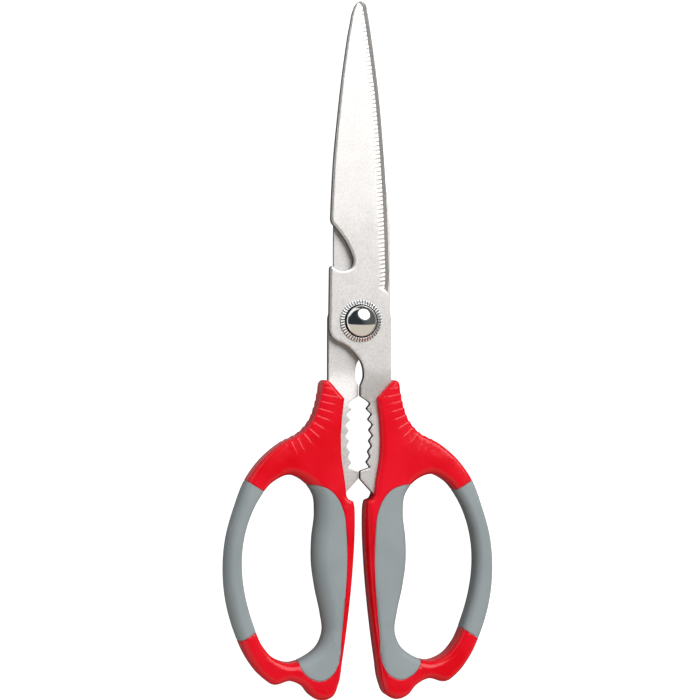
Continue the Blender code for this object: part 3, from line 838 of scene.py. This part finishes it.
def cut_profile(depth, y, tooth_depth):
    """Height of the ground side over the plate's inner face, by depth from the cutting edge."""
    outer_wide, outer_tall = OUTER_BEVEL
    inner_wide, inner_tall = INNER_BEVEL
    knee = EDGE_LAND + outer_tall
    ridge = knee + inner_tall
    land = EDGE_LAND + depth * outer_tall / outer_wide
    step = knee + (depth - outer_wide) * inner_tall / inner_wide
    back = depth - outer_wide - inner_wide
    upper = ridge + np.maximum(back, -0.6) * SHOULDER_SLOPE
    phase = (y + TOOTH_SLANT * tooth_depth) / TOOTH_PITCH
    share = phase - np.floor(phase)
    rise = np.minimum(share / TOOTH_LEAN, (1.0 - share) / (1.0 - TOOTH_LEAN))
    hollow = (1.0 - np.cos(pi * rise)) / 2
    fade = np.clip(1.0 - (tooth_depth - outer_wide - inner_wide) / TOOTH_REACH, 0.0, 1.0)
    ends = np.clip((y - EDGE_FROM) / 0.6, 0, 1) * np.clip((EDGE_TO - y) / 0.6, 0, 1)
    upper = upper - TOOTH_DEPTH * hollow * fade * ends
    return np.minimum(np.maximum(land, step), upper)


def blade(name, flank, edge, spine_runs, toothed):
    """One plate above the mid-plane, ground along its cutting edge, with its other rims eased."""
    loops = plate_loops(flank, edge, spine_runs)
    thick = PLATE_FACE - PLATE_LOW
    edge_line = np.array(smooth_curve(edge, 0.1))
    edge_tree = KDTree(len(edge_line))
    for number, (x, y) in enumerate(edge_line):
        edge_tree.insert((x, y, 0.0), number)
    edge_tree.balance()
    top_y = edge[-1][1] - 0.8

    def rows_at(_x, y, mark):
        if mark < 0.02 and HEEL_START - 0.6 < y < top_y:
            return CUT_ROWS
        radius = max(mark, CUT_ROUND)
        return [radius * (1 - cos(turn)) for turn in (0.5, 1.0, pi / 2)] + [radius + 0.35]

    rim = rim_of(loops)
    spots = clear_of(rim, grid(-12, 20, -56, -36.0, 1.6, 1.6), 0.9)
    bend = clear_of(rim, grid(-12, 20, -35.4, -12.8, 1.2, 0.6), 0.7)
    rest = clear_of(rim, grid(-11, 5, -12.2, 99, 1.6, 1.6), 0.9)
    plan = plan_of(loops, rows_at, np.concatenate([spots, bend, rest]))

    xy = plan.xy
    on_cut = np.array([edge_tree.find((x, y, 0.0))[2] for x, y in xy])
    heel = np.clip((xy[:, 1] - HEEL_START) / (HEEL_END - HEEL_START), 0.0, 1.0)
    heel = heel * heel * (3 - 2 * heel)
    if toothed:
        cut = np.minimum(thick, cut_profile(on_cut / np.maximum(heel, 0.05), xy[:, 1], on_cut))
        heel = np.clip((xy[:, 1] - HEEL_START) / 0.3, 0.0, 1.0)
    else:
        cut = np.minimum(thick, REAR_EDGE_TALL + on_cut)
    cut = thick - (thick - cut) * heel
    rim_mark = np.maximum(plan.mark, SHARP_ROUND)
    near = np.clip(1.0 - plan.depth / rim_mark, 0.0, 1.0)
    eased = thick - rim_mark * (1 - np.sqrt(1 - near**2))
    top = PLATE_LOW + np.minimum(cut, eased)
    small = np.clip(1.0 - plan.depth / CUT_ROUND, 0.0, 1.0)
    bottom = PLATE_LOW + UNDER_ROUND * (1 - np.sqrt(1 - small**2))
    points, faces = slab(plan, top, bottom, wall_rows=3)
    return make_object(name, bent(points), faces, steel, 35.0)


def turned_over(obj):
    """Turns a mesh half round about the Y axis through the pivot."""
    there = Matrix.Translation(PIVOT)
    turn = there @ Matrix.Rotation(pi, 4, "Y") @ there.inverted()
    obj.data.transform(turn)
    return obj


def finish_piece(obj, node, body):
    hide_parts(node)
    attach(obj, body)


front_plate = blade(
    "front_blade_plate", FRONT_FLANK, FRONT_EDGE, [FRONT_SPINE, NOTCH, FRONT_SHOULDER], True
)
finish_piece(front_plate, "front_blade", FRONT_BODY)
rear_plate = turned_over(blade("rear_blade_plate", REAR_FLANK, REAR_EDGE, [REAR_SPINE], False))
finish_piece(rear_plate, "rear_blade", REAR_BODY)


# ---------------------------------------------------------------- handles

SEAM_DIP = 0.12
SEAM_WIDE = 0.2
RIB_PITCH = 2.2
RIB_COUNT = 10
RIB_TALL = 0.26
RIB_START = (12.5, -19.9)
RIB_REACH = 5.9
RIM_FLAT = 0.95
RIM_TIGHT = 0.64
RIM_TURNS = (0.28, 0.56, 0.84, 1.12, 1.36, pi / 2)
POST_R = LOCK_HOLE_R - 0.08
SLOT_ROOM = 0.08


def handle_loops(step, rounding):
    slant = [(5.1, -23.7, 1.2), (9.3, -18.9, 1.2)]
    runs = [smooth_curve(HANDLE_SIDE, 0.4), LEDGE, smooth_curve(HANDLE_INSIDE, 0.4), slant]
    outer = even_loop(runs, step, rounding)[::-1]
    hole = even_loop([smooth_curve(FINGER_HOLE, 0.4, True)], step, 0)[::-1]
    return [outer, hole]


def seam_points():
    bow = [np.array(point) for point in BOW_SLEEVE]
    runs = []
    for a, b in zip(bow, bow[1:]):
        parts = max(2, int(np.linalg.norm(b - a) / 0.4))
        runs += [a + (b - a) * k / parts for k in range(parts + 1)]
    runs += [point[:2] for point in smooth_curve(PALM_EDGE, 0.4)]
    return np.array(runs)


seams = seam_points()
seam_tree = KDTree(len(seams))
for number, (x, y) in enumerate(seams):
    seam_tree.insert((x, y, 0.0), number)
seam_tree.balance()


def seam_distance(spots):
    """Distance of each spot from the nearest joint between the two plastics."""
    found = []
    for x, y in spots:
        near = [seams[index] for _, index, _ in seam_tree.find_n((x, y, 0.0), 2)]
        run = near[1] - near[0]
        share = np.dot((x, y) - near[0], run) / max(np.dot(run, run), 1e-12)
        foot = near[0] + run * min(1.0, max(0.0, share))
        found.append(np.hypot(x - foot[0], y - foot[1]))
    return np.array(found)


def near_seam(x, y, reach):
    return seam_tree.find((x, y, 0.0))[2] < reach


def neck_side(x, y):
    return -41.0 < y < -19.0 and x > max(9.5, -0.9 * y - 14.0)


def handle_rows(x, y, mark):
    rows = [mark * (1 - cos(turn)) for turn in RIM_TURNS] + [mark + 0.5]
    if neck_side(x, y):
        rows += [mark + 1.0 + 0.45 * k for k in range(12)]
    return rows


def rib_steps(plan):
    """How many steps along the neck each point lies, and how strongly the steps show there."""
    side = [point for point in plan.rim.loops[0] if neck_side(point[0], point[1])]
    side = rim_of([np.array(side + with_mark([(12.0, 20.0), (70.0, 20.0), (70.0, -41.0)], 0.0))])
    depth, _, along, _ = beside(side, plan.xy)
    first = np.argmin(np.linalg.norm(side.xy - np.array(RIB_START), axis=1))
    step = (side.ends[2][first] - along) / RIB_PITCH
    inward_fade = np.clip((RIB_REACH - depth) / 2.4, 0.0, 1.0)
    near_ends = np.clip(step / 0.3, 0.0, 1.0) * np.clip((RIB_COUNT - step) / 0.3, 0.0, 1.0)
    return step, inward_fade * near_ends


def rib_dip(step, strength, depth):
    """Depth of the shallow steps cut across the outer side of the neck."""
    share = step - np.floor(step)
    rise = np.minimum(share / RIB_STEP, (1.0 - share) / (1.0 - RIB_STEP))
    return RIB_TALL * (1.0 - rise) * strength * np.clip(1.0 - depth / 1.6, 0.0, 1.0)


def smoothed(values, triangles, fixed, rounds):
    """Evens out a value over a net of triangles, leaving the fixed points alone."""
    pairs = np.concatenate([triangles[:, [0, 1]], triangles[:, [1, 2]], triangles[:, [2, 0]]])
    pairs = np.concatenate([pairs, pairs[:, ::-1]])
    weight = np.bincount(pairs[:, 0], minlength=len(values))
    for _ in range(rounds):
        total = np.bincount(pairs[:, 0], weights=values[pairs[:, 1]], minlength=len(values))
        mean = total / np.maximum(weight, 1)
        values = np.where(fixed, values, (values + mean) / 2)
    return values


def face_height(plan, tightened, dip):
    """Height of one face of a moulding, with its broad rims tightened on one side."""
    tight = np.clip(tightened, 0.0, 1.0) * np.clip((plan.mark - 1.2) / 0.8, 0.0, 1.0)
    radius = np.maximum(plan.mark * (1.0 - RIM_TIGHT * tight), 0.4)
    out = np.clip(1.0 - plan.depth / radius, 0.0, 1.0)
    lift = np.sqrt(1.0 - out**2)
    height = HANDLE_HALF - CROWN - radius * RIM_FLAT * (1.0 - lift)
    height = height + CROWN * (1.0 - np.exp(-plan.depth / CROWN_REACH))
    height = smoothed(height, plan.triangles, plan.depth < radius * 0.95, 25)
    return height - dip * lift, out


def handle_body():
    """The whole moulding of one side before its two plastics are parted."""

    def spacing(loop):
        kept = [loop[0]]
        for point in loop[1:]:
            wide = 0.16 if neck_side(*point[:2]) else 0.5
            gap = np.linalg.norm((point - kept[-1])[:2])
            if near_seam(*point[:2], 0.55) or gap >= wide:
                kept.append(point)
        return np.array(kept)

    loops = [spacing(loop) for loop in handle_loops(0.11, 7)]
    rim = rim_of(loops)
    spots = clear_of(rim, grid(0, 43, -118, -17, 1.1, 1.0), 2.9)
    spots = spots[[not near_seam(x, y, 0.7) for x, y in spots]]
    across = []
    for a, b in zip(seams, seams[1:]):
        run = b - a
        length = np.linalg.norm(run)
        if 1e-6 < length < 1.0:
            side = np.array([-run[1], run[0]]) / length
            for reach in (-0.6, -0.34, -0.16, -0.05, 0.05, 0.16, 0.34, 0.6):
                across += [a + side * reach, (a + b) / 2 + side * reach]
    across = clear_of(rim, across, 2.4)
    plan = plan_of(loops, handle_rows, np.concatenate([spots, across]))

    seam = SEAM_DIP * np.exp(-((seam_distance(plan.xy) / SEAM_WIDE) ** 2))
    step, strength = rib_steps(plan)
    dip = seam + rib_dip(step, strength, plan.depth)
    top, out = face_height(plan, -plan.inward[:, 0], dip)
    bottom, _ = face_height(plan, plan.inward[:, 0], dip)
    moved = plan.inward * (dip * out)[:, None]
    points, faces = slab(plan, top, -bottom, moved, wall_rows=4)
    edge = len(plan.rim.xy)
    rows = [np.arange(len(plan.xy))] * 2 + [np.arange(edge)] * 3
    whose = np.concatenate(rows)
    # groove, the seam dip's share, drives the painted shade in the seam grooves.
    values = {"groove": seam / SEAM_DIP, "rib_step": step, "rib_strength": strength}
    return points, faces, {name: value[whose] for name, value in values.items()}


def prism(loops, low, high, bend=False):
    """A cutter over flat loops."""
    spots = grid(-12, 20, -35.4, -12.0, 2.0, 0.6) if bend else []
    plan = bare_plan(loops, clear_of(rim_of(loops), spots, 0.5) if spots else spots)
    level = np.full(len(plan.xy), 1.0)
    points, faces = slab(plan, level * high, level * low)
    return (bent(points) if bend else points), faces


def bare_plan(loops, spots):
    """Triangles over flat loops and a few loose spots, with no rows behind the outlines."""
    rim = rim_of(loops)
    spots = np.array(spots, float).reshape(-1, 2)
    everything = np.concatenate([rim.xy, spots])
    return SimpleNamespace(rim=rim, xy=everything, triangles=triangulated(rim, everything))


def shifted(loop, distance):
    """A loop moved into its material by a distance, without the points that would cross over."""
    rim = rim_of([loop])
    moved = rim.xy + rim.inward * distance
    kept = beside(rim, moved)[0] > 0.98 * abs(distance)
    return np.column_stack([moved, loop[:, 2]])[kept]


def carved(obj, steps):
    """Applies exact Booleans, each an operation and a cutter."""
    for operation, cutter in steps:
        modifier = obj.modifiers.new(operation, "BOOLEAN")
        modifier.operation = operation
        modifier.solver = "EXACT"
        modifier.object = cutter
    bpy.context.view_layer.update()
    graph = bpy.context.evaluated_depsgraph_get()
    mesh = bpy.data.meshes.new_from_object(obj.evaluated_get(graph))
    obj.modifiers.clear()
    obj.data = mesh
    return obj


def build_handles():
    points, faces, values = handle_body()
    outer, hole = [loop[::4] for loop in handle_loops(0.3, 3)]
    cutters = []

    def cutter(name, shape):
        obj = make_object(name, *shape)
        cutters.append(obj)
        return obj

    def body(name, material):
        obj = make_object(name, points, faces, material)
        for key, value in values.items():
            field = obj.data.attributes.new(key, "FLOAT", "POINT")
            field.data.foreach_set("value", value.astype(np.float32))
        return obj

    room = CORE_HALF + SEAM_GAP
    core_loops = [shifted(outer, CORE_INSET), shifted(hole, CORE_INSET)]
    void_loops = [shifted(outer, CORE_INSET - SEAM_GAP), shifted(hole, CORE_INSET - SEAM_GAP)]
    core = cutter("core_cutter", prism(core_loops, -CORE_HALF, CORE_HALF))
    void = cutter("void_cutter", prism(void_loops, -room, room))
    far = HANDLE_HALF + 2.0

    tang = tang_run(FRONT_FLANK)[:-1] + [(FRONT_FLANK, -13.0), (CONTACT_HALF, -13.0)]
    tang += [(CONTACT_HALF, STOP_BOTTOM), (4.5, -53.3)]
    slot_loops = [shifted(even_loop([with_mark(tang, 0.0)], 0.5, 1), -SLOT_ROOM)]
    slot_loops += [circle(POST_R, 24, 0.0, x, y) for x, y in LOCK_HOLES]
    low, high = PLATE_LOW - SLOT_ROOM, PLATE_FACE + SLOT_ROOM
    slot = cutter("slot_cutter", prism(slot_loops, low, high, bend=True))

    palm = np.array(with_mark(list(smooth_curve(PALM_EDGE, 0.4)) + PALM_BACK, 0.0))
    bow = even_loop([with_mark(BOW_SLEEVE[::-1], 0.0)], 0.5, 1)
    handle = body("right_handle_moulding", red)
    grips = {}
    steps = []
    for part, loop in (("bow", bow), ("palm", palm)):
        room_cutter = cutter(f"{part}_room", prism([loop], -far, far))
        carved(room_cutter, [("DIFFERENCE", core)])
        steps.append(("DIFFERENCE", room_cutter))
        limit = cutter(f"{part}_limit", prism([shifted(loop, SEAM_GAP)], -far, far))
        grip = body(f"right_{part}_grip_sleeve", grey)
        grips[part] = carved(grip, [("INTERSECT", limit), ("DIFFERENCE", void)])
    carved(handle, steps + [("DIFFERENCE", slot)])
    for obj in cutters:
        bpy.data.objects.remove(obj)
    pieces = {"handle": handle, "bow_grip": grips["bow"], "palm_grip": grips["palm"]}
    for part, obj in pieces.items():
        cleaned(obj, 38.0)
        other = bpy.data.objects.new(obj.name.replace("right", "left"), obj.data.copy())
        bpy.context.scene.collection.objects.link(other)
        turned_over(other)
        finish_piece(obj, f"right_{part}", FRONT_BODY)
        finish_piece(other, f"left_{part}", REAR_BODY)


build_handles()


# ---------------------------------------------------------------- pivot

HEAD_R = 4.7
HEAD_EDGE_Z = 5.0
HEAD_TOP_Z = 7.0
HEAD_SEAT_Z = 4.05
RING_R = 6.45
RING_BASE_Z = 3.3
RING_TOP_Z = 4.4
RING_TEETH = 44
RING_TOOTH = 0.36
RING_EDGE_Z = 3.36
CREST_R = 5.35
FLANGE_R = 5.6
FLANGE_TOP_Z = -3.7
FLANGE_LOW_Z = -4.4


def build_bolt():
    """Domed head on its shank."""
    profile = [(0.001, -3.9), (1.6, -3.9), (2.0, -3.5), (2.0, HEAD_SEAT_Z), (4.3, HEAD_SEAT_Z)]
    profile += [(4.6, HEAD_SEAT_Z + 0.1), (HEAD_R, HEAD_SEAT_Z + 0.3)]
    tall = HEAD_TOP_Z - HEAD_EDGE_Z
    ball = (HEAD_R**2 + tall**2) / (2 * tall)
    steps = 20
    for step in range(steps):
        a = asin(HEAD_R / ball) * (1 - step / steps)
        profile.append((ball * sin(a), HEAD_TOP_Z - ball * (1 - cos(a))))
    profile.append((0.001, HEAD_TOP_Z))
    bolt = make_object("pivot_bolt_head", *turned(profile, 96), polished, 50.0)
    finish_piece(cleaned(bolt, 50.0), "pivot_bolt", FRONT_BODY)


def build_ring():
    """Dished washer with rounded radial teeth on its sloping face."""
    profile = [
        (BORE_R, RING_BASE_Z), (RING_R - 0.1, RING_BASE_Z), (RING_R, RING_BASE_Z + 0.1),
    ]
    first = len(profile)
    rows = 8
    for row in range(rows + 1):
        share = row / rows
        rise = (RING_TOP_Z - RING_EDGE_Z) * share
        profile.append((RING_R - (RING_R - CREST_R) * share, RING_EDGE_Z + rise))
    profile += [(CREST_R - 0.15, RING_TOP_Z - 0.06), (4.85, 3.95), (4.75, 3.85), (BORE_R, 3.85)]

    def groove_at(turn):
        return 1.0 - sqrt(abs(cos(RING_TEETH * turn / 2)))

    def toothed(number, turn, radius, z):
        row = number - first
        if not 0 <= row <= rows:
            return radius, z
        wave = groove_at(turn) * (1.0 - 0.5 * (row / rows) ** 2)
        return radius - 0.5 * RING_TOOTH * wave, max(z - RING_TOOTH * wave, RING_BASE_Z + 0.1)

    ring = make_object("knurled_washer_ring", *turned(profile, RING_TEETH * 12, toothed), knurled)
    cleaned(ring, 50.0)
    # Groove depth between the teeth, which the ring material turns into painted shade.
    field = ring.data.attributes.new("groove", "FLOAT", "POINT")
    spots = [vertex.co - PIVOT for vertex in ring.data.vertices]
    depths = [groove_at(atan2(spot.y, spot.x)) for spot in spots]
    field.data.foreach_set("value", np.array(depths, np.float32))
    finish_piece(ring, "knurled_washer", FRONT_BODY)


def build_back():
    """Spring washer and slotted barrel nut."""
    spring = [
        (BORE_R, -3.56), (4.9, -3.5), (5.0, -3.44), (5.0, -3.3), (4.9, -3.25), (BORE_R, -3.31),
    ]
    washer = make_object("spring_washer_disc", *turned(spring, 96), knurled)
    finish_piece(cleaned(washer, 50.0), "spring_washer", FRONT_BODY)
    nut = [
        (2.3, FLANGE_LOW_Z), (FLANGE_R - 0.3, FLANGE_LOW_Z), (FLANGE_R - 0.08, FLANGE_LOW_Z + 0.1),
        (FLANGE_R, FLANGE_LOW_Z + 0.3), (FLANGE_R, FLANGE_TOP_Z - 0.08),
        (FLANGE_R - 0.08, FLANGE_TOP_Z), (2.9, FLANGE_TOP_Z), (2.9, 3.1), (2.8, 3.2), (2.15, 3.2),
        (2.15, FLANGE_LOW_Z + 0.15),
    ]
    barrel = make_object("pivot_nut_barrel", *turned(nut, 96), knurled)
    bar = np.array([(-7, -0.6, 0), (7, -0.6, 0), (7, 0.6, 0), (-7, 0.6, 0)], float)
    slot = make_object("nut_slot", *prism([bar], FLANGE_LOW_Z - 1.0, FLANGE_LOW_Z + 0.4))
    carved(barrel, [("DIFFERENCE", slot)])
    bpy.data.objects.remove(slot)
    finish_piece(cleaned(barrel, 40.0), "pivot_nut", FRONT_BODY)


build_bolt()
build_ring()
build_back()
